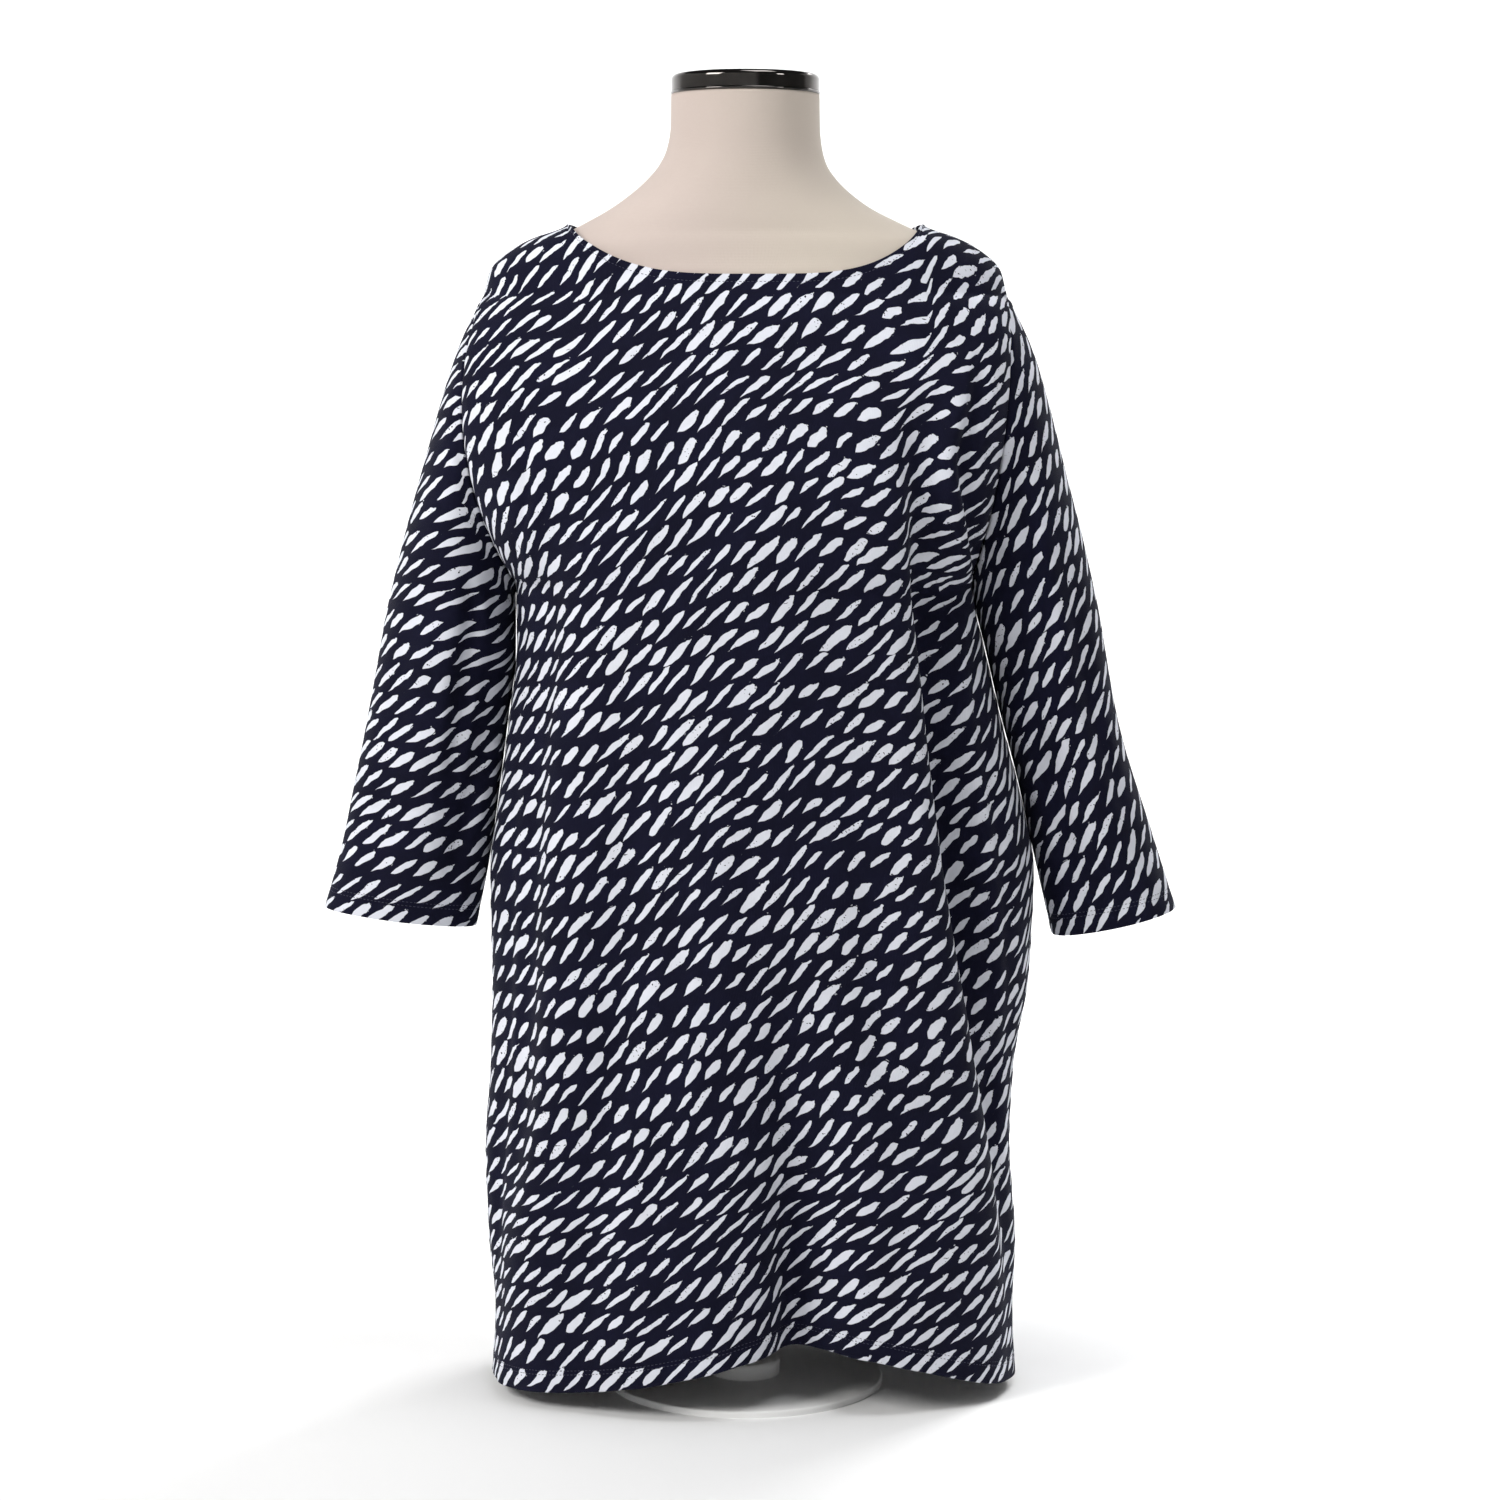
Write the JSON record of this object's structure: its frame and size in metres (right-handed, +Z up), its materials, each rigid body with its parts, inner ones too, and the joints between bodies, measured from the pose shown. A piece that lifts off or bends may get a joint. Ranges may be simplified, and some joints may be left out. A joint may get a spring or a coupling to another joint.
{
  "type": "knitted tunic top on a limbless dress form",
  "caption": "Hip-length jersey tunic with a wide neck and three-quarter sleeves, worn on a limbless dress form with a neck cap and base.",
  "frame": {"origin": "on the floor, at the centre of the underside of the base plate", "axes": "+Z up, front towards -Y, the wearer's right side towards -X"},
  "size_m": [0.6456, 0.2729, 0.9903],
  "materials": {
    "jersey": "navy cotton jersey printed with white brush dashes",
    "form_fabric": "cream knitted cover, stretched smooth",
    "dark_chrome": "polished dark chrome",
    "coated_steel": "white powder coat"
  },
  "bodies": {
    "root": {"tunic_front": "jersey", "tunic_back": "jersey", "sleeve_right": "jersey", "sleeve_left": "jersey", "form_torso": "form_fabric", "neck_cap": "dark_chrome", "form_flange": "coated_steel", "form_pole": "coated_steel", "base_hub": "coated_steel", "base_plate": "coated_steel"}
  },
  "joints": []
}
